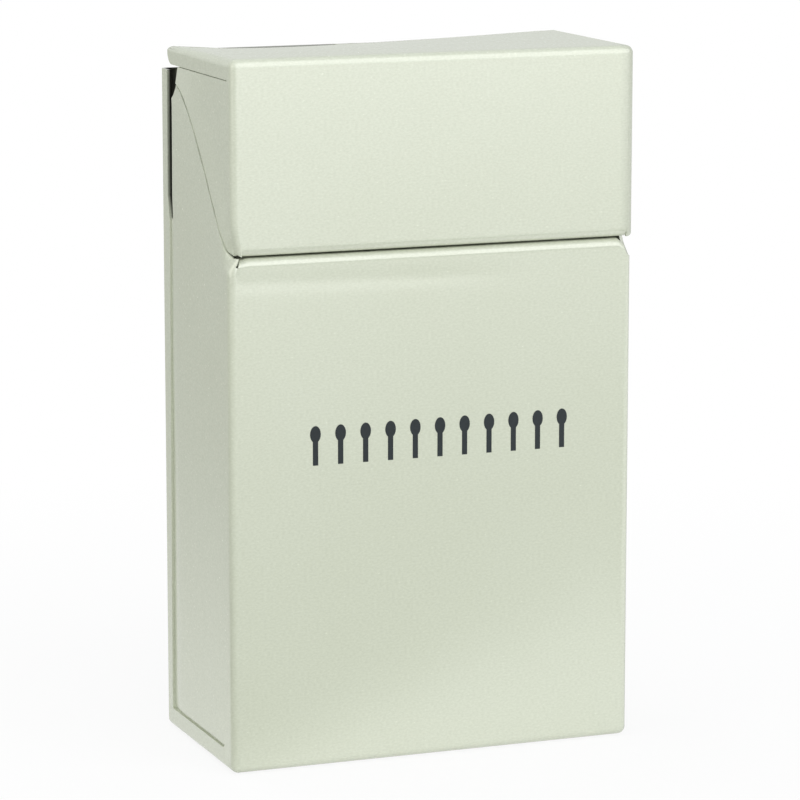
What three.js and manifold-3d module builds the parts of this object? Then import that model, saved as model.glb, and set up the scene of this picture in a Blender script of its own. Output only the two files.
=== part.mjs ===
// Match holder: an upright flip-top tin folded from two coated steel blanks, hinged at the rear top edge.
// Lengths are in millimetres. X runs to the right, Y from the front to the back and Z up.
import * as THREE from 'three';
import { RoundedBoxGeometry } from 'three/addons/geometries/RoundedBoxGeometry.js';
import { ConvexGeometry } from 'three/addons/geometries/ConvexGeometry.js';
import { mergeVertices } from 'three/addons/utils/BufferGeometryUtils.js';
import Module from 'manifold-3d';

const wasm = await Module();
wasm.setup();

// Driving sizes
const width = 75.4; // body, across its front
const depth = 37.6; // body, front to back
const height = 125; // up to the top of the lid
const sheet = 0.6; // coated steel sheet
const bendRadius = 1.4; // outside of every bend
const lidFront = 34; // from the top of the lid down to the joint on the front
const seamGap = 0.3; // clearance between the lid's edges and the body's
const lipDepth = 3.6; // how far the two edges at the joint are folded in

// Body: the flanges of its back and bottom, lapped over the side walls
const backDrop = 4.7; // top edge of the back and its flanges, below the top of the lid
const backFlangeTop = 5.2; // width of the back's flange at its top
const backFlangeFoot = 3.6; // the same at its foot
const bottomFlange = 3.7; // height of the bottom's flange
const flangeStart = 5.3; // where the bottom's flange begins, behind the front
const closedCorner = 4.6; // height of the closed corner in front of it
const flangeGroove = 0.5; // from a flange's edge to the face of the side wall
const slotLength = 26.3; // open slot between side wall and back's flange, down from the back's top
const slotWidth = 1.7; // below the slot the side wall is lapped under the flange
const shoulderDrop = 2.6; // the side wall's rear corner is cut down by this much
const marginLap = 2.8; // how far a lapped margin reaches under its flange
const weld = 0.1; // how far a lapped margin is sunk into the sheet that it is welded to

// Lid
const lidNarrower = 0.3; // the lid is this much narrower than the body
const lidShift = 0.4; // and sits this much to the right of the middle
const lidFlange = 3.7; // height of the top's flanges, lapped over the lid's side walls
const lidWallInset = 9.4; // rear edge of the lid's side walls, in from the back
const lidWallDrop = 6.9; // lower end of that edge, below the top of the lid
const lidFlangeInset = 2.7; // rounded rear end of the top's flanges, in from the back
const lidSeamStart = 2.1; // where the seam under the flange begins, behind the front
const lidSeam = 0.15; // width of that seam
const topSag = 1.5; // dent along the rear edge of the top, at its deepest
const sagPlace = 0.28; // where it is deepest, as a share of the width from the left

// Hinge: knuckles rolled from the back and the top, round one wire pin
const pinRadius = 0.8;
const pinClearance = 0.05; // between the pin and a knuckle's bore
const knuckleGap = 0.35; // between neighbouring knuckles, end to end
const hingeDrop = 2.3; // pin's axis below the top of the lid
const knuckleLength = 21.5; // each of the body's two knuckles
const knuckleMiddle = 16.45; // from the middle of the tin to the middle of each
const hingeInset = 3; // ends of the hinge, in from the sides
const rollAngle = 290; // how far round the pin a knuckle is rolled, in degrees
const hingeClearance = 0.3; // between the lid's rear edge and the body's knuckles

// Worked out from those
const margin = 2; // how far a cutter reaches past what it cuts
const seamHeight = height - lidFront;
const bodyEdge = seamHeight - seamGap / 2;
const lidEdge = seamHeight + seamGap / 2;
const lidWidth = width - lidNarrower;
const lidWallRear = depth - lidWallInset;
const lidWallFoot = height - lidWallDrop;
const lidFlangeRear = depth - lidFlangeInset;
const backTop = height - backDrop;
const slotFoot = backTop - slotLength;
const knuckleRadius = pinRadius + pinClearance + sheet;
const pinPlace = { y: depth - knuckleRadius, z: height - hingeDrop };
const topRear = pinPlace.y - knuckleRadius - hingeClearance;
const mitre = 1.1; // how far the bends at the joint's corners are cut back
const slit = 0.45; // relief beside the tongue at the left corner
const arcSteps = 8; // segments in a quarter bend
const finest = 0.01; // detail smaller than this is merged away

const coat = { color: 0xd3d6c4, roughness: 0.42, metalness: 0 };
const wire = { color: 0x8d8f8a, roughness: 0.35, metalness: 1 };

function toSolid(geometry) {
  geometry.deleteAttribute('normal');
  geometry.deleteAttribute('uv');
  const merged = mergeVertices(geometry, 1e-4);
  return new wasm.Manifold(new wasm.Mesh({
    numProp: 3,
    vertProperties: new Float32Array(merged.attributes.position.array),
    triVerts: new Uint32Array(merged.index.array),
  }));
}

function toMesh(name, solid, finish) {
  const { vertProperties, triVerts } = solid.simplify(finest).getMesh();
  const geometry = new THREE.BufferGeometry();
  geometry.setAttribute('position', new THREE.BufferAttribute(vertProperties, 3));
  geometry.setIndex(new THREE.BufferAttribute(triVerts, 1));
  geometry.computeVertexNormals();
  const mesh = new THREE.Mesh(geometry, new THREE.MeshStandardMaterial(finish));
  mesh.name = name;
  return mesh;
}

function shapeOf(points) {
  return new THREE.Shape(points.map(([u, v]) => new THREE.Vector2(u, v)));
}

// A side profile, drawn in Y and Z, made solid from one X to another
function sideSolid(shape, fromX, toX) {
  const geometry = new THREE.ExtrudeGeometry(shape, {
    depth: toX - fromX, bevelEnabled: false, curveSegments: arcSteps,
  });
  const turn = new THREE.Matrix4().makeBasis(
    new THREE.Vector3(0, 1, 0), new THREE.Vector3(0, 0, 1), new THREE.Vector3(1, 0, 0));
  geometry.applyMatrix4(turn.setPosition(fromX, 0, 0));
  return toSolid(geometry);
}

// A front profile, drawn in X and Z, made solid from one Y to another
function frontSolid(shape, fromY, toY) {
  const geometry = new THREE.ExtrudeGeometry(shape, {
    depth: toY - fromY, bevelEnabled: false, curveSegments: arcSteps,
  });
  const turn = new THREE.Matrix4().makeBasis(
    new THREE.Vector3(1, 0, 0), new THREE.Vector3(0, 0, 1), new THREE.Vector3(0, -1, 0));
  geometry.applyMatrix4(turn.setPosition(0, toY, 0));
  return toSolid(geometry);
}

// A hollow box of sheet with every edge bent to the same radius
function foldedBox(across, toY, fromZ, toZ) {
  const inset = 2 * sheet;
  const box = [across, toY, toZ - fromZ];
  const outside = new RoundedBoxGeometry(...box, arcSteps / 2, bendRadius);
  const inside = new RoundedBoxGeometry(...box.map((side) => side - inset), arcSteps / 2,
    bendRadius - sheet);
  const place = [0, toY / 2, (fromZ + toZ) / 2];
  return toSolid(outside).subtract(toSolid(inside)).translate(place);
}

function bothSides(solid) {
  return solid.add(solid.mirror([1, 0, 0]));
}

// The joint's curve on the side walls, from its front end to the lid wall's rear corner.
// `away` moves it off the middle of the joint: down and back for the body, up and forward for the lid.
function seamCurve(away) {
  const shift = away / Math.SQRT2;
  const rise = lidWallFoot - seamHeight;
  const run = lidWallRear - bendRadius;
  const at = (alongY, alongZ) => new THREE.Vector2(
    bendRadius + run * alongY + shift, seamHeight + rise * alongZ - shift);
  return new THREE.CubicBezierCurve(at(0, 0), at(0.22, 0.16), at(0.6, 0.8), at(1, 1)).getPoints(18);
}

// The folded-in edge at the joint: a bend and a lip, seen from the side.
// `up` is 1 where the panel stands below the edge, and -1 where it hangs above it.
function foldedEdge(edgeZ, up) {
  const shape = new THREE.Shape();
  const foot = edgeZ - up * bendRadius;
  const turnOut = up > 0;
  shape.moveTo(0, foot);
  shape.absarc(bendRadius, foot, bendRadius, Math.PI, up * Math.PI / 2, turnOut);
  shape.lineTo(lipDepth, edgeZ);
  shape.lineTo(lipDepth, edgeZ - up * sheet);
  shape.lineTo(bendRadius, edgeZ - up * sheet);
  shape.absarc(bendRadius, foot, bendRadius - sheet, up * Math.PI / 2, Math.PI, !turnOut);
  return shape;
}

// The pressed step in a side wall, from its face down to the margin under the flanges
function wallStep(face, bottom, rearFoot, rearTop, top) {
  const corners = [];
  for (const [x, inset] of [[face, flangeGroove], [face + sheet, 0]]) {
    corners.push(new THREE.Vector3(x, bendRadius, bottom + inset));
    corners.push(new THREE.Vector3(x, rearFoot - inset, bottom + inset));
    corners.push(new THREE.Vector3(x, rearTop - inset, top));
    corners.push(new THREE.Vector3(x, bendRadius, top));
  }
  return toSolid(new ConvexGeometry(corners));
}

// A knuckle's section: sheet rolled round the pin, and the straight sheet that carries it.
// It is drawn about the pin, for a sheet that comes up from below at the rear.
function knuckleShape(tail) {
  const shape = new THREE.Shape();
  const bore = knuckleRadius - sheet;
  const end = THREE.MathUtils.degToRad(rollAngle);
  if (tail > 0) {
    shape.moveTo(bore, -tail);
    shape.lineTo(knuckleRadius, -tail);
  } else {
    shape.moveTo(bore, 0);
  }
  shape.lineTo(knuckleRadius, 0);
  shape.absarc(0, 0, knuckleRadius, 0, end, false);
  shape.lineTo(bore * Math.cos(end), bore * Math.sin(end));
  shape.absarc(0, 0, bore, end, 0, true);
  return shape;
}

const bodyKnuckles = [-1, 1].map((side) => [
  side * knuckleMiddle - knuckleLength / 2, side * knuckleMiddle + knuckleLength / 2,
]);
const lidKnuckles = [
  [hingeInset - width / 2, bodyKnuckles[0][0] - knuckleGap],
  [bodyKnuckles[0][1] + knuckleGap, bodyKnuckles[1][0] - knuckleGap],
  [bodyKnuckles[1][1] + knuckleGap, width / 2 - hingeInset],
];

// How far the dented top lies below flat, at a place on it
function sagAt(x, y) {
  const along = THREE.MathUtils.clamp((x - lidShift) / lidWidth + 0.5, 0, 1);
  const fall = 1.2;
  const rise = fall * sagPlace / (1 - sagPlace);
  const across = (along / sagPlace) ** rise * ((1 - along) / (1 - sagPlace)) ** fall;
  const back = THREE.MathUtils.clamp(y / topRear, 0, 1) ** 2;
  return topSag * across * back;
}

function bodyPiece() {
  const side = width / 2;
  const flangeFoot = depth - backFlangeFoot;
  const flangeTop = depth - backFlangeTop;
  const taper = (flangeTop - flangeFoot) / (backTop - bottomFlange);
  const flangeAt = (z) => flangeFoot + taper * (z - bottomFlange);
  const slotFront = flangeAt(slotFoot) - slotWidth;

  // The folded blank's outline from the side: back and flanges, slot, and the joint's curve
  const outline = new THREE.Shape();
  const curve = seamCurve(seamGap / 2).reverse();
  outline.moveTo(-margin, -margin);
  outline.lineTo(depth + margin, -margin);
  outline.lineTo(depth + margin, backTop);
  outline.lineTo(flangeTop, backTop);
  outline.lineTo(flangeAt(slotFoot), slotFoot);
  outline.lineTo(slotFront, slotFoot);
  outline.lineTo(flangeTop - slotWidth, lidWallFoot - shoulderDrop);
  curve.forEach((point) => outline.lineTo(point.x, point.y));
  outline.lineTo(-margin, curve.at(-1).y);
  const keep = sideSolid(outline, -width, width);

  // The side walls' margins, pressed in under the flanges, and the grooves that this leaves
  const start = flangeStart - (closedCorner - bottomFlange);
  const step = wallStep(-side, bottomFlange, flangeFoot, flangeAt(height), height);
  const groove = sideSolid(shapeOf([
    [start, closedCorner], [flangeStart, bottomFlange], [flangeFoot, bottomFlange],
    [flangeAt(height), height], [start, height],
  ]), -side - margin, sheet - side).subtract(step.add(step.translate([-margin, 0, 0])));
  const lap = sideSolid(shapeOf([
    [start, closedCorner + margin], [start, bottomFlange - marginLap],
    [flangeFoot + marginLap, bottomFlange - marginLap], [flangeFoot + marginLap, slotFoot],
    [slotFront, slotFoot], [slotFront, closedCorner + margin],
  ]), sheet - weld - side, 2 * sheet - side).subtract(step.translate([sheet, 0, 0]));

  // What the front loses above its bends, with a mitre on the right and a slit on the left
  const foot = bodyEdge - bendRadius;
  const relief = frontSolid(shapeOf([
    [bendRadius - slit - side, height + margin], [bendRadius - slit - side, foot],
    [side - bendRadius, foot], [side, foot - mitre], [side + margin, foot - mitre],
    [side + margin, height + margin],
  ]), -margin, bendRadius);

  const box = foldedBox(width, depth, 0, height + 2 * bendRadius);
  const shell = box.intersect(keep).subtract(bothSides(groove)).subtract(relief);
  const lip = sideSolid(foldedEdge(bodyEdge, 1), bendRadius - side, side - bendRadius);
  const tabs = bodyKnuckles.map(([from, to]) => {
    const tail = pinPlace.z - backTop + sheet;
    return sideSolid(knuckleShape(tail), from, to).translate([0, pinPlace.y, pinPlace.z]);
  });
  return wasm.Manifold.union([shell, bothSides(lap), lip, ...tabs]);
}

function lidPiece() {
  const side = lidWidth / 2;
  const flangeEdge = height - lidFlange;

  // The folded blank's outline from the side: the joint's curve, then the flange's rounded end
  const upper = bendRadius;
  const lower = lidFlange - upper;
  const outline = new THREE.Shape();
  const curve = seamCurve(-seamGap / 2);
  outline.moveTo(-margin, curve[0].y);
  curve.forEach((point) => outline.lineTo(point.x, point.y));
  outline.lineTo(curve.at(-1).x, flangeEdge);
  outline.lineTo(lidFlangeRear - lower, flangeEdge);
  outline.absarc(lidFlangeRear - lower, flangeEdge + lower, lower, -Math.PI / 2, 0, false);
  outline.absarc(lidFlangeRear - upper, height - upper, upper, 0, Math.PI / 2, false);
  outline.lineTo(-margin, height);
  const keep = sideSolid(outline, -width, width);

  // Between the flanges the top ends further forward, and under each flange lies a narrow seam
  const rear = depth + margin;
  const topEnd = sideSolid(shapeOf([
    [topRear, 0], [rear, 0], [rear, height + margin], [topRear, height + margin],
  ]), sheet - side, side - sheet);
  const seam = sideSolid(shapeOf([
    [lidSeamStart, flangeEdge - lidSeam], [lidFlangeRear, flangeEdge - lidSeam],
    [lidFlangeRear, flangeEdge], [lidSeamStart, flangeEdge],
  ]), -side - margin, sheet - side);
  const lap = sideSolid(shapeOf([
    [bendRadius, flangeEdge - marginLap], [lidWallRear, flangeEdge - marginLap],
    [lidWallRear, flangeEdge + lower / 2], [bendRadius, flangeEdge + lower / 2],
  ]), sheet - weld - side, 2 * sheet - side);

  // What the front loses below its bends, with the lid's lower corners rounded
  const foot = lidEdge + bendRadius;
  const relief = new THREE.Shape();
  relief.moveTo(-side - margin, 0);
  relief.lineTo(-side - margin, foot);
  relief.lineTo(-side, foot);
  relief.quadraticCurveTo(-side, lidEdge, bendRadius - side, lidEdge);
  relief.lineTo(bendRadius - side, foot);
  relief.lineTo(side - bendRadius, foot);
  relief.lineTo(side - bendRadius, lidEdge);
  relief.quadraticCurveTo(side, lidEdge, side, foot);
  relief.lineTo(side + margin, foot);
  relief.lineTo(side + margin, 0);

  const box = foldedBox(lidWidth, 2 * depth, seamHeight - height, height);
  const shell = box.intersect(keep).subtract(topEnd).subtract(bothSides(seam))
    .subtract(frontSolid(relief, -margin, bendRadius));
  const dented = shell.refineToLength(lipDepth).warp((point) => {
    const low = (point[2] - flangeEdge) / lower;
    point[2] -= sagAt(point[0] + lidShift, point[1]) * THREE.MathUtils.smoothstep(low, 0, 1);
  });
  const lip = sideSolid(foldedEdge(lidEdge, -1), bendRadius - side, side - bendRadius);
  const folded = wasm.Manifold.union([dented, bothSides(lap), lip]).translate([lidShift, 0, 0]);
  return wasm.Manifold.union([folded, ...lidKnuckles.map(lidKnuckle)]);
}

// A lid knuckle is rolled the other way, at the end of a strap that comes off the dented top
function lidKnuckle([from, to]) {
  const roll = sideSolid(knuckleShape(0), from, to).mirror([0, 1, 0]).rotate([-90, 0, 0]);
  const start = topRear - sheet - pinPlace.y;
  const flat = sideSolid(shapeOf([
    [start, hingeDrop - sheet], [0, knuckleRadius - sheet], [0, knuckleRadius], [start, hingeDrop],
  ]), from, to);
  const strap = flat.refineToLength(lipDepth).warp((point) => {
    point[2] -= sagAt(point[0], topRear) * point[1] / start;
  });
  return roll.add(strap).translate([0, pinPlace.y, pinPlace.z]);
}

function pinPiece() {
  const length = width - 2 * hingeInset;
  const geometry = new THREE.CylinderGeometry(pinRadius, pinRadius, length, 32);
  geometry.rotateZ(Math.PI / 2);
  return toSolid(geometry).translate([0, pinPlace.y, pinPlace.z]);
}

const holder = new THREE.Group();
holder.add(toMesh('body', bodyPiece(), coat));
holder.add(toMesh('lid', lidPiece(), coat));
holder.add(toMesh('hinge_pin', pinPiece(), wire));
holder.position.y = -depth / 2;

export default holder;
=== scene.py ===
import math

import bmesh
import bpy
from mathutils import Matrix, Vector, noise


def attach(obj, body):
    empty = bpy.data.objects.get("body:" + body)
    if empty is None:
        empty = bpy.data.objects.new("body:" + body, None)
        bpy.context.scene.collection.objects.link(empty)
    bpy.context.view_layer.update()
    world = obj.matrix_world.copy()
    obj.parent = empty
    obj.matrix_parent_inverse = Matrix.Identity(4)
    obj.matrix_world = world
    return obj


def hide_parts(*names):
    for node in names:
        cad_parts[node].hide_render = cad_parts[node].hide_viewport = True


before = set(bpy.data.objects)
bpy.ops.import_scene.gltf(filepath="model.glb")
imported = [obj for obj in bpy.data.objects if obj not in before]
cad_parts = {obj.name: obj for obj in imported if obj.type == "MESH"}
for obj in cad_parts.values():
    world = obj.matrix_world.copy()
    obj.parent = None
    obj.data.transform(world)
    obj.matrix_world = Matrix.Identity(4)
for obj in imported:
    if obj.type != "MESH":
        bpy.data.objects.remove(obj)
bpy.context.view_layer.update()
bpy.context.scene.view_settings.view_transform = "Standard"

# Camera: a long lens from the left of the tin and a little above it, as the photo was taken.
# Its place, aim and lens are fitted to the tin's straight edges and outline.
eye = Vector((-0.25046, -0.64909, 0.18856))
yaw, pitch = math.radians(21.164), math.radians(10.3967)
lens = bpy.data.cameras.new("camera")
lens.lens, lens.sensor_width = 177.21, 36
camera = bpy.data.objects.new("camera", lens)
camera.location = eye
camera.rotation_euler = (math.pi / 2 - pitch, 0, -yaw)
bpy.context.scene.collection.objects.link(camera)
bpy.context.scene.camera = camera

# Studio: a plain pale floor that keeps the tin's shadow, a white surround that the camera and
# the satin coat see, and large soft lamps in front, above, behind and at the left.


def put_in_scene(name, data):
    """An object that shows a mesh or a lamp, linked to the scene."""
    shown = bpy.data.objects.new(name, data)
    bpy.context.scene.collection.objects.link(shown)
    return shown


floor_radius, floor_z = 3, -0.0002
floor_mesh = bpy.data.meshes.new("floor")
shaper = bmesh.new()
bmesh.ops.create_circle(shaper, cap_ends=True, segments=96, radius=floor_radius)
shaper.to_mesh(floor_mesh)
shaper.free()
floor = put_in_scene("floor", floor_mesh)
floor.location.z = floor_z


def new_material(name):
    """A material with an empty node tree, its nodes and its links."""
    material = bpy.data.materials.new(name)
    material.use_nodes = True
    material.node_tree.nodes.clear()
    return material, material.node_tree.nodes, material.node_tree.links


def arithmetic(nodes, operation):
    """A node that works out one number from two."""
    node = nodes.new("ShaderNodeMath")
    node.operation = operation
    return node


def map_range(nodes, start, end, low, high):
    """A node that maps start to low and end to high, evenly between and no further."""
    node = nodes.new("ShaderNodeMapRange")
    for socket, value in (("From Min", start), ("From Max", end), ("To Min", low), ("To Max", high)):
        node.inputs[socket].default_value = value
    return node


def colour_mix(nodes, blend_type="MIX"):
    """A node that mixes two colours by its factor."""
    node = nodes.new("ShaderNodeMix")
    node.data_type, node.blend_type = "RGBA", blend_type
    return node


def colour_ramp(nodes, *stops):
    """A ramp through colours, each stop given as its place and its red, green and blue."""
    node = nodes.new("ShaderNodeValToRGB")
    marks = node.color_ramp.elements
    for mark, (place, colour) in zip(marks, (stops[0], stops[-1])):
        mark.position, mark.color = place, (*colour, 1)
    for place, colour in stops[1:-1]:
        marks.new(place).color = (*colour, 1)
    return node


def noise_texture(nodes, scale, roughness=0.5):
    """A cloud of grey on a node; its scale says how many spots there are to the metre."""
    node = nodes.new("ShaderNodeTexNoise")
    for socket, value in (("Scale", scale), ("Detail", 2), ("Roughness", roughness)):
        node.inputs[socket].default_value = value
    return node


def connect(links, *joins):
    """Links nodes, each join given as source, its output, target and its input."""
    for source, output, target, socket in joins:
        links.new(source.outputs[output], target.inputs[socket])


# The floor is matt and pale. To the camera it pales to the white of the surround, and its mirror
# image in the coat is a white card with a dark band, dimmer towards the left side of the tin.
paper, nodes, links = new_material("floor paper")
floor_mesh.materials.append(paper)
white_card, grey_card, dark_band = (1, 1, 1), (0.68, 0.68, 0.68), (0.04, 0.04, 0.04)
coords = nodes.new("ShaderNodeTexCoord")
distance = nodes.new("ShaderNodeVectorMath")
distance.operation = "LENGTH"
whiter = map_range(nodes, 0.05, 0.24, 0.88, 1.0)
across_floor = nodes.new("ShaderNodeVectorMath")
across_floor.operation = "DOT_PRODUCT"
across_floor.inputs[1].default_value = (0.642, 0.767, 0)
place = map_range(nodes, -0.40, 0.0, 0.0, 1.0)
card = colour_ramp(nodes, (0.20, grey_card), (0.50, dark_band), (0.87, dark_band), (0.92, white_card))
axes = nodes.new("ShaderNodeSeparateXYZ")
dimmer_left = map_range(nodes, -0.12, -0.04, 0.45, 1.0)
both = colour_mix(nodes, "MULTIPLY")
both.inputs["Factor"].default_value = 1.0
seen = nodes.new("ShaderNodeLightPath")
to_camera = arithmetic(nodes, "MULTIPLY")
mirrored = arithmetic(nodes, "MAXIMUM")
amount = arithmetic(nodes, "MAXIMUM")
shown = colour_mix(nodes)
shown.inputs["A"].default_value = (1, 1, 1, 1)
matt = nodes.new("ShaderNodeBsdfDiffuse")
matt.inputs["Color"].default_value = (0.88, 0.88, 0.88, 1)
white = nodes.new("ShaderNodeEmission")
mixed = nodes.new("ShaderNodeMixShader")
out = nodes.new("ShaderNodeOutputMaterial")
connect(
    links,
    (coords, "Object", distance, 0), (distance, "Value", whiter, "Value"),
    (coords, "Object", across_floor, 0), (across_floor, "Value", place, "Value"),
    (place, "Result", card, "Fac"), (coords, "Object", axes, 0),
    (axes, "X", dimmer_left, "Value"), (card, "Color", both, "A"),
    (dimmer_left, "Result", both, "B"), (both, "Result", shown, "B"),
    (seen, "Is Glossy Ray", shown, "Factor"), (shown, "Result", white, "Color"),
    (seen, "Is Camera Ray", to_camera, 0), (whiter, "Result", to_camera, 1),
    (seen, "Is Glossy Ray", mirrored, 0), (seen, "Is Transmission Ray", mirrored, 1),
    (to_camera, 0, amount, 0), (mirrored, 0, amount, 1), (amount, 0, mixed, "Fac"),
    (matt, 0, mixed, 1), (white, 0, mixed, 2), (mixed, 0, out, "Surface"),
)

# The surround is plain white to the camera and in mirror images. It lights the tin itself only a
# little, as a large pale room would.
world = bpy.data.worlds.new("surround")
world.use_nodes = True
bpy.context.scene.world = world
nodes, links = world.node_tree.nodes, world.node_tree.links
nodes.clear()
seen = nodes.new("ShaderNodeLightPath")
either = arithmetic(nodes, "MAXIMUM")
any_of = arithmetic(nodes, "MAXIMUM")
dim = nodes.new("ShaderNodeBackground")
dim.inputs["Color"].default_value = (0.95, 0.98, 1.0, 1)
dim.inputs["Strength"].default_value = 0.35
bright = nodes.new("ShaderNodeBackground")
mixed = nodes.new("ShaderNodeMixShader")
out = nodes.new("ShaderNodeOutputWorld")
connect(
    links,
    (seen, "Is Camera Ray", either, 0), (seen, "Is Glossy Ray", either, 1),
    (either, 0, any_of, 0), (seen, "Is Transmission Ray", any_of, 1),
    (any_of, 0, mixed, "Fac"), (dim, 0, mixed, 1), (bright, 0, mixed, 2),
    (mixed, 0, out, "Surface"),
)


def soft_lamp(name, place, size, power, colour=(1, 1, 1), mirrored=True):
    """A square area lamp that looks from its place at the middle of the tin."""
    light = bpy.data.lights.new(name, "AREA")
    light.size, light.energy, light.color = size, power, colour
    lamp = put_in_scene(name, light)
    lamp.location = place
    middle_of_tin = Vector((0, 0, 0.06))
    lamp.rotation_euler = (middle_of_tin - Vector(place)).to_track_quat("-Z", "Y").to_euler()
    lamp.visible_glossy = mirrored


soft_lamp("front lamp", (0.25, -1.1, 0.55), 1.8, 18.0)
soft_lamp("top lamp", (0.0, 0.1, 1.2), 0.8, 3.2, (0.95, 1.0, 1.04), mirrored=False)
soft_lamp("left lamp", (-1.1, -0.2, 0.4), 0.8, 3.0, (1.0, 0.99, 0.86))
soft_lamp("rear lamp", (-0.5, 1.2, 0.5), 0.8, 4.5, mirrored=False)

# Powder coat: pale sage cream with a little mica in it, satin, baked on the steel sheet. It has a
# fine speckle and a slight orange peel. Painted shade darkens it towards near black by a per-vertex
# value: in the rear inner corners by the slots, on the knuckles' lid side and on the right front bend.
coat, nodes, links = new_material("sage cream powder coat")
# Near-black colour that the painted shade darkens the coat towards
painted_shade_colour = (0.013, 0.013, 0.010, 1)
coords = nodes.new("ShaderNodeTexCoord")
stretch = nodes.new("ShaderNodeMapping")
stretch.inputs["Scale"].default_value = (0.55, 0.55, 1.0)
speckle = noise_texture(nodes, 3200, 0.6)
cloud = noise_texture(nodes, 30)
tint = colour_ramp(nodes, (0.32, (0.550, 0.582, 0.468)), (0.68, (0.612, 0.645, 0.530)))
drift = colour_mix(nodes, "MULTIPLY")
drift.inputs["Factor"].default_value = 1.0
shade = colour_ramp(nodes, (0.35, (0.985, 0.985, 0.975)), (0.65, (1, 1, 1)))
# Painted shade: the per-vertex value read here mixes the coat towards near black
shade_amount = nodes.new("ShaderNodeAttribute")
shade_amount.attribute_name = "painted_shade"
shade_mix = colour_mix(nodes)
shade_mix.inputs["B"].default_value = painted_shade_colour
peel = noise_texture(nodes, 1100)
bump = nodes.new("ShaderNodeBump")
bump.inputs["Strength"].default_value = 0.10
bump.inputs["Distance"].default_value = 0.0001
gloss = map_range(nodes, 0.0, 1.0, 0.20, 0.30)
skin = nodes.new("ShaderNodeBsdfPrincipled")
skin.inputs["IOR"].default_value = 2.0
out = nodes.new("ShaderNodeOutputMaterial")
connect(
    links,
    (coords, "Object", stretch, "Vector"), (stretch, "Vector", speckle, "Vector"),
    (coords, "Object", cloud, "Vector"), (coords, "Object", peel, "Vector"),
    (speckle, "Fac", tint, "Fac"), (cloud, "Fac", shade, "Fac"),
    (tint, "Color", drift, "A"), (shade, "Color", drift, "B"),
    (drift, "Result", shade_mix, "A"), (shade_amount, "Fac", shade_mix, "Factor"),
    (shade_mix, "Result", skin, "Base Color"),
    (peel, "Fac", bump, "Height"), (bump, "Normal", skin, "Normal"),
    (speckle, "Fac", gloss, "Value"), (gloss, "Result", skin, "Roughness"),
    (skin, "BSDF", out, "Surface"),
)

# Folded blanks: each is cut from 0.6 mm steel, pressed, bent and welded, then coated all over.
# Both are merged from their CAD solids here, gridded, and given the small unevenness of the press.
half_width, half_depth = 0.0377, 0.0188  # of the body, over its side walls and over front and back
body_edge, lid_edge = 0.09085, 0.09115  # heights of the front's folded top edge and the lid's lower one
wall_front, wall_rear = 0.0014, 0.0282  # ends of the slanted joint, back from the front
joint_foot, joint_head = 0.091, 0.1181  # and up from the base
pin_z = 0.1227
knuckle_press = 0.62  # how far the rolled knuckles stand above the pin, against true circles
wall_depth = 0.00065  # a side wall's sheet and a hair
bend_width = 0.0028  # how much of the front the right vertical bend takes
# how dark the painted shade on the right vertical bend gets
bend_shade = 0.24


def ease(value, low, high):
    """0 at low and beyond, 1 at high and beyond, and smooth between."""
    share = min(max((value - low) / (high - low), 0), 1)
    return share * share * (3 - 2 * share)


def flange_line(z):
    """How far back the edge of the back's flange lies on the side walls, from the front."""
    return 0.0340 - 0.0016 * (z - 0.0037) / 0.1166


def joint_point(t):
    """A point on the middle of the slanted joint, back from the front and up, for t from 0 to 1."""
    near, far, end = 3 * t * (1 - t) ** 2, 3 * t * t * (1 - t), t ** 3
    along, up = near * 0.22 + far * 0.6 + end, near * 0.16 + far * 0.8 + end
    return Vector((
        wall_front + (wall_rear - wall_front) * along, joint_foot + (joint_head - joint_foot) * up))


joint_line = [joint_point(step / 40) for step in range(41)]


def close_joint(at, reach=0.0004, move=0.000147):
    """Brings an edge of the slanted joint to the joint's middle, as the pressed edges lie."""
    here = Vector((at.y + half_depth, at.z))
    nearest = min(joint_line, key=lambda point: (point - here).length)
    gap = (nearest - here).length
    if abs(at.x) < half_width - 0.0013 or gap > reach or not 0.0018 < here.x < wall_rear:
        return
    pull = (nearest - here) / gap * move
    at.y += pull.x
    at.z += pull.y


def shade_on_bend(x, y):
    """How much shade is painted on the right vertical bend, which turns away from the lamps; 0 elsewhere.
    """
    if x > half_width - bend_width and y < 0.0040:
        return bend_shade * ease(x, half_width - bend_width, half_width - 0.0004)
    return 0


def gridded_blank(node, x_planes, y_planes, z_planes):
    """A merged copy of a CAD node, cleared of needless edges and cut along planes given in mm."""
    shaper = bmesh.new()
    shaper.from_mesh(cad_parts[node].data)
    bmesh.ops.remove_doubles(shaper, verts=shaper.verts, dist=2e-6)
    bmesh.ops.dissolve_limit(shaper, angle_limit=math.radians(0.6), verts=shaper.verts, edges=shaper.edges)
    planes = [((1, 0, 0), x / 1000) for x in x_planes]
    planes += [((0, 1, 0), y / 1000 - half_depth) for y in y_planes]
    planes += [((0, 0, 1), z / 1000) for z in z_planes]
    for normal, place in planes:
        whole = shaper.verts[:] + shaper.edges[:] + shaper.faces[:]
        bmesh.ops.bisect_plane(
            shaper, geom=whole, dist=1e-6, plane_co=Vector(normal) * place, plane_no=normal)
    return shaper


def coated_piece(name, shaper, node, body):
    """Makes a blank into a finished piece: coat, softened cut edges, and its place on the frame."""
    for face in shaper.faces:
        face.smooth = True
    mesh = bpy.data.meshes.new(name)
    shaper.to_mesh(mesh)
    shaper.free()
    mesh.materials.append(coat)
    piece = put_in_scene(name, mesh)
    soften = piece.modifiers.new("softened cut edges", "BEVEL")
    soften.width, soften.segments, soften.limit_method = 0.00004, 2, "ANGLE"
    soften.angle_limit, soften.harden_normals = math.radians(40), True
    piece.modifiers.new("even shading", "WEIGHTED_NORMAL")
    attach(piece, body)
    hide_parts(node)


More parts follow.
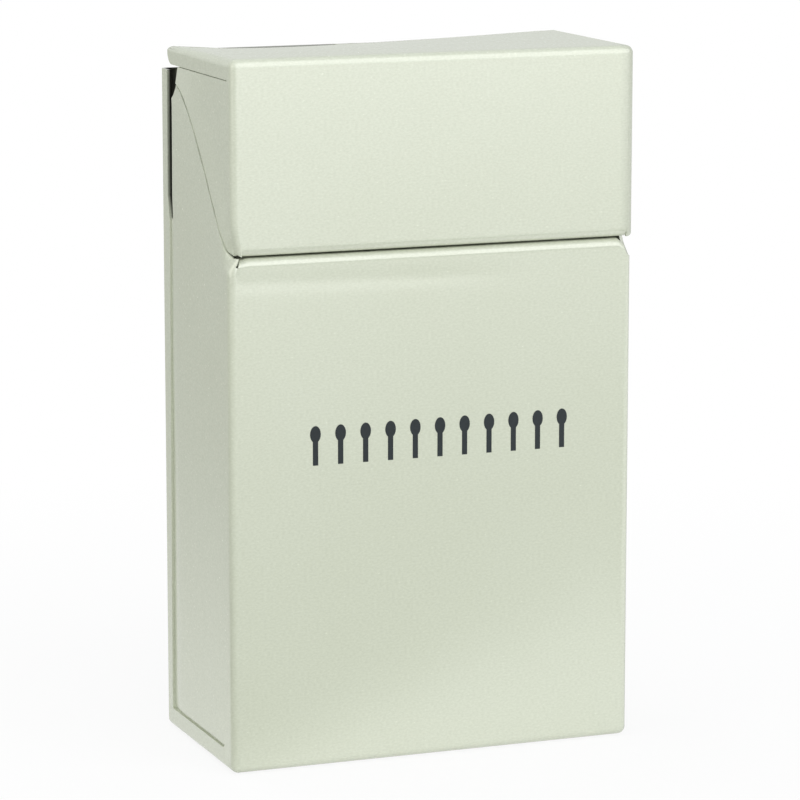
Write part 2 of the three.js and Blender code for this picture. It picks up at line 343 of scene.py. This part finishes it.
# Body: one steel blank, its front turned into the side walls and the bottom, the bottom turned up
# into the back, the back's flanges lapped over the walls and spot welded before coating.
slot_start, slot_full = 0.0930, 0.0985  # heights where the open slots begin and have their full width
front_press = 0.00003  # how far the front is pressed back between its bends
wave_depth, wave_height = 0.00008, 0.0014
shaper = gridded_blank(
    "body",
    [-36.2, -35.2, -34, *range(-32, 33, 4), 34, 35.2, 36.2, 37],
    [2.6, 4, 6, 9, 13, 17, 21, 24, 26.5, 28.5, 30, 31],
    [4.6, 5.4, 6.6, 8.5, 12, 18, 26, 34, 42, 50, 58, 66, 74, 80, 82, 83.5]
    + [84.5, 85.3, 86.1, 86.9, 87.7, 88.5, 89.2, 90, 94, 98, 102, 106, 110, 114],
)
painted_shade = shaper.verts.layers.float.new("painted_shade")
for vertex in shaper.verts:
    at = vertex.co
    close_joint(at)
    x, y, z = at.x, at.y + half_depth, at.z
    on_wall = abs(x) > half_width - wall_depth

    # Painted shade: the rear inner corners beside the open slots, deep in shade inside the tin, are
    # darkened towards near black
    if abs(x) < half_width - 0.0005 and y < 2 * half_depth - 0.0005 and z < 0.1215:
        vertex[painted_shade] = ease(abs(x), 0.0335, 0.0358) * ease(y, 0.0292, 0.0308) * ease(z, 0.0900, 0.0980)
    else:
        vertex[painted_shade] = shade_on_bend(x, y)
    # The knuckles are rolled a little flat on top, and their side facing the lid is darkened: painted shade
    # of the narrow gap under the lid's rear edge
    if z > pin_z and y > 0.0330:
        at.z = pin_z + (z - pin_z) * knuckle_press
        vertex[painted_shade] = 0.75 * (1 - ease(y, 0.0358, 0.0366))

    # The front is pressed a hair back between its bends, with a shallow wave under the top bend
    if y < 0.0008 and abs(x) < 0.0362 and 0.0015 < z < 0.0895:
        off_wave = z - 0.0866 + 0.02 * (x + 0.03)
        wave = math.exp(-(off_wave / wave_height) ** 2) * (1 - ease(x, -0.005, 0.022))
        at.y += front_press + wave_depth * wave
    # The side walls are drawn in towards the flanges that are lapped over them
    elif on_wall and 0.0015 < y < flange_line(z) - 0.0004 and z > 0.0041:
        at_flange = (0.00056 - 0.00026 * ease(z, 0.045, 0.080)) * math.exp(-(flange_line(z) - y) / 0.0018)
        at_bottom = 0.00016 * math.exp(-(z - 0.0037) / 0.0016)
        uneven = 0.00005 * noise.noise(Vector((x * 20, y * 60, z * 38))) * ease(y, 0.002, 0.008)
        at.x -= math.copysign((at_bottom + at_flange + uneven) * (1 - ease(z, 0.112, 0.118)), x)

    # The top corners of the front are not quite closed: rounded on the left, cut back on the right
    behind_front = 1 - ease(y, 0.0020, 0.0060)
    left = ease(-x, 0.0340, 0.0363) * (x > -0.0365) * ease(z, 0.0882, body_edge) * behind_front
    right = ease(x, 0.0354, 0.0373) * ease(z, 0.0868, body_edge) * (1 - ease(y, 0.0038, 0.0070))
    at.z -= 0.0004 * left + (0.0022 + 0.0012 * ease(y, 0.0008, 0.0016)) * right
    # and the left bend leans in over its last millimetres
    lean = ease(-x, 0.0350, 0.0375) * ease(z, 0.0878, body_edge) ** 2 * (1 - ease(y, 0.0010, 0.0030))
    at.x += 0.0011 * lean

    # The flanges of the back stand further back beside the open slots than below them
    if on_wall and -0.0003 < y - flange_line(z) < 0.0004 and z > 0.0925:
        at.y += 0.0011 * ease(z, slot_start, slot_full)
    # and the walls' rear edges stand nearer to them, up to the walls' rear shoulders
    elif on_wall and 0.0304 < y < 0.03115 and z > 0.0925:
        at.y += 0.0005 * ease(z, slot_start, slot_full)
    elif on_wall and 0.02825 < y < 0.0284 and z > 0.1175:
        at.y += 0.0003
coated_piece("body_shell", shaper, "body", "body")

# Lid: a second blank, its top lapped over its side walls; its rear edge is rolled into three
# knuckles on the hinge wire, and its top is dented along that edge.
lid_shift = 0.0004  # the lid sits this far to the right on the body
shaper = gridded_blank(
    "lid",
    [-36.2, -35, 35.2, 36.6, 37.2],
    [2.6, 4, 6, 8.5, 11, 14, 17, 20, 23],
    [92, 93, 94.2, 95.6, 97.5, 100, 103, 106, 109, 112, 115],
)
painted_shade = shaper.verts.layers.float.new("painted_shade")
for vertex in shaper.verts:
    at = vertex.co
    close_joint(at)
    x, y, z = at.x - lid_shift, at.y + half_depth, at.z
    # Painted shade on the right vertical bend
    vertex[painted_shade] = shade_on_bend(x, y)

    # The left wall bows out a little to lie level with the body's along the joint
    if x < 0.0013 - half_width and y > 0.0016 and z < 0.1200:
        off_joint = min((point - Vector((y, z))).length for point in joint_line)
        at.x -= 0.0004 * (1 - ease(off_joint, 0.0003, 0.0060)) * ease(y, 0.0016, 0.0060)
    # The rear edges of both walls reach back to the open slots
    if abs(x) > half_width - 0.0013 and 0.0280 < y < 0.0283 and 0.1180 < z < 0.1226:
        at.y += 0.0010
        at.z += 0.0002 * (z < 0.1184)
    # The knuckles, and the straps that lead to them, are rolled a little flat
    if z > pin_z and y > 0.03455 and abs(x) < 0.0350:
        at.z = pin_z + (z - pin_z) * knuckle_press

    # The front's lower corners are a little rounded, and the left bend leans in
    corner = ease(abs(x), 0.0350, 0.0375)
    at.z += 0.0001 * corner * (1 - ease(z, lid_edge, 0.0945)) * (1 - ease(y, 0.0020, 0.0050))
    if x < 0:
        at.x += 0.0009 * corner * (1 - ease(z, lid_edge, 0.0990)) ** 2 * (1 - ease(y, 0.0010, 0.0028))
coated_piece("lid_shell", shaper, "lid", "lid")

# Front motif: a row of matches in dark slate ink, printed a hair thick on the baked coat of the
# front. Each is a flat stick and an oval head.
motif_middle = Vector((0.0011, -half_depth + 0.000012, 0.0575))
match_count, match_pitch = 11, 0.00465
stick_size, stick_middle = (0.0010, 0.0050, 1), Vector((0, 0, -0.0010))
head_size, head_middle = (0.0020, 0.0030, 1), Vector((0, -0.000006, 0.0020))
ink, nodes, links = new_material("dark slate ink")
coords = nodes.new("ShaderNodeTexCoord")
grain = noise_texture(nodes, 2200)
ink_tone = colour_ramp(nodes, (0, (0.006, 0.010, 0.012)), (1, (0.014, 0.022, 0.026)))
film = nodes.new("ShaderNodeBsdfPrincipled")
film.inputs["Roughness"].default_value = 0.42
out = nodes.new("ShaderNodeOutputMaterial")
connect(
    links,
    (coords, "Object", grain, "Vector"), (grain, "Fac", ink_tone, "Fac"),
    (ink_tone, "Color", film, "Base Color"), (film, "BSDF", out, "Surface"),
)
shaper = bmesh.new()
upright = Matrix.Rotation(math.pi / 2, 3, "X")
for number in range(match_count):
    match_middle = motif_middle + Vector(((number - (match_count - 1) / 2) * match_pitch, 0, 0))
    head = bmesh.ops.create_circle(shaper, cap_ends=True, segments=20, radius=0.5)["verts"]
    stick = bmesh.ops.create_grid(shaper, x_segments=1, y_segments=1, size=0.5)["verts"]
    for verts, size, middle in ((head, head_size, head_middle), (stick, stick_size, stick_middle)):
        bmesh.ops.scale(shaper, vec=size, verts=verts)
        bmesh.ops.rotate(shaper, verts=verts, matrix=upright)
        bmesh.ops.translate(shaper, vec=match_middle + middle, verts=verts)
mesh = bpy.data.meshes.new("front_motif")
shaper.to_mesh(mesh)
shaper.free()
mesh.materials.append(ink)
motif = put_in_scene("front_motif", mesh)
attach(motif, "body")

# Hinge wire: drawn steel, cut to length and pushed through the five knuckles. It keeps its CAD
# shape and gets only its metal, with faint drawing marks along it.
wire, nodes, links = new_material("drawn steel wire")
coords = nodes.new("ShaderNodeTexCoord")
along = nodes.new("ShaderNodeMapping")
along.inputs["Scale"].default_value = (0.02, 1, 1)
drawn = noise_texture(nodes, 9000)
tone = colour_ramp(nodes, (0, (0.25, 0.25, 0.24)), (1, (0.42, 0.42, 0.40)))
metal = nodes.new("ShaderNodeBsdfPrincipled")
metal.inputs["Metallic"].default_value = 1
metal.inputs["Roughness"].default_value = 0.38
out = nodes.new("ShaderNodeOutputMaterial")
connect(
    links,
    (coords, "Object", along, "Vector"), (along, "Vector", drawn, "Vector"),
    (drawn, "Fac", tone, "Fac"), (tone, "Color", metal, "Base Color"),
    (metal, "BSDF", out, "Surface"),
)
hinge_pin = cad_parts["hinge_pin"].data
hinge_pin.materials.clear()
hinge_pin.materials.append(wire)
